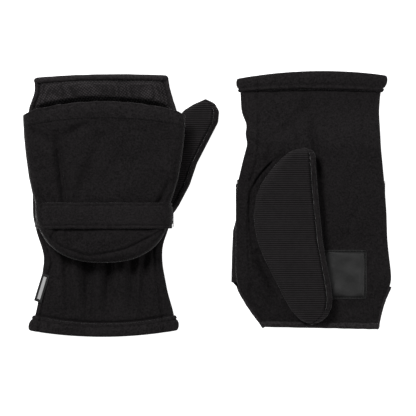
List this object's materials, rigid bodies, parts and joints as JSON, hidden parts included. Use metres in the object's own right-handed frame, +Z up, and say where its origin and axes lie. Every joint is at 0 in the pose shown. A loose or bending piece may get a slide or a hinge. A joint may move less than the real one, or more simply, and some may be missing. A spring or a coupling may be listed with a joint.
{
  "type": "convertible flip-top mittens",
  "caption": "Pair of fleece flip-top mittens: fingerless mitts whose caps fold back over the hand under a strap, with full thumbs and a palm grip patch.",
  "frame": {"origin": "centre of the pair's bounding box, at the table", "axes": "+X from the left mitten to the right one, +Y along the left mitten from its cuff to its fingers, +Z up from the table"},
  "size_m": [0.2854, 0.206, 0.0436],
  "materials": {
    "fleece": "brushed fleece, very dark grey",
    "rib_knit": "fine horizontal ribs",
    "lining_knit": "pebbled knit",
    "grip_leather": "matt synthetic grip",
    "elastic": "woven elastic",
    "thread": "sewing thread",
    "woven_label": "plain woven label"
  },
  "bodies": {
    "hands": {"left_palm_panel": "fleece", "left_palm_lining": "lining_knit", "left_back_panel": "fleece", "left_back_lining": "lining_knit", "left_side_gusset": "fleece", "left_cuff_hem": "fleece", "left_wrist_elastic": "elastic", "left_finger_edge_binding": "fleece", "left_palm_patch": "grip_leather", "left_patch_stitching": "thread", "left_holding_strap": "fleece", "left_strap_tacks": "thread", "left_side_label": "woven_label", "right_palm_panel": "fleece", "right_palm_lining": "lining_knit", "right_back_panel": "fleece", "right_back_lining": "lining_knit", "right_side_gusset": "fleece", "right_cuff_hem": "fleece", "right_wrist_elastic": "elastic", "right_finger_edge_binding": "fleece", "right_palm_patch": "grip_leather", "right_patch_stitching": "thread", "right_holding_strap": "fleece", "right_strap_tacks": "thread"},
    "left_cap": {"left_cap_back_panel": "fleece", "left_cap_lining": "lining_knit", "left_cap_palm_panel": "fleece", "left_cap_hem": "fleece"},
    "left_thumb": {"left_thumb_rib_panel": "rib_knit", "left_thumb_fleece_panel": "fleece", "left_thumb_lining": "lining_knit", "left_thumb_binding": "fleece"},
    "right_cap": {"right_cap_back_panel": "fleece", "right_cap_lining": "lining_knit", "right_cap_palm_panel": "fleece", "right_cap_hem": "fleece"},
    "right_thumb": {"right_thumb_rib_panel": "rib_knit", "right_thumb_fleece_panel": "fleece", "right_thumb_lining": "lining_knit", "right_thumb_binding": "fleece"}
  },
  "joints": [
    {"name": "left_cap_flip", "type": "hinge", "parent": "hands", "child": "left_cap", "pos_m": [-0.0811, 0.061, 0.0136], "axis": [-1, 0, 0], "range_deg": [0, 180], "deforming": ["left_cap_palm_panel", "left_cap_hem", "left_cap_lining", "left_holding_strap"]},
    {"name": "right_cap_flip", "type": "hinge", "parent": "hands", "child": "right_cap", "pos_m": [0.0811, -0.061, 0.0188], "axis": [-1, 0, 0], "range_deg": [0, 180], "deforming": ["right_cap_palm_panel", "right_cap_hem", "right_cap_lining", "right_holding_strap"]},
    {"name": "left_thumb_fold", "type": "hinge", "parent": "hands", "child": "left_thumb", "pos_m": [-0.027, -0.009, 0], "axis": [0.0372, 0.9993, 0], "range_deg": [0, 150]},
    {"name": "right_thumb_fold", "type": "hinge", "parent": "hands", "child": "right_thumb", "pos_m": [0.0345, -0.015, 0.03815], "axis": [0, -1, 0], "range_deg": [0, 150]}
  ]
}
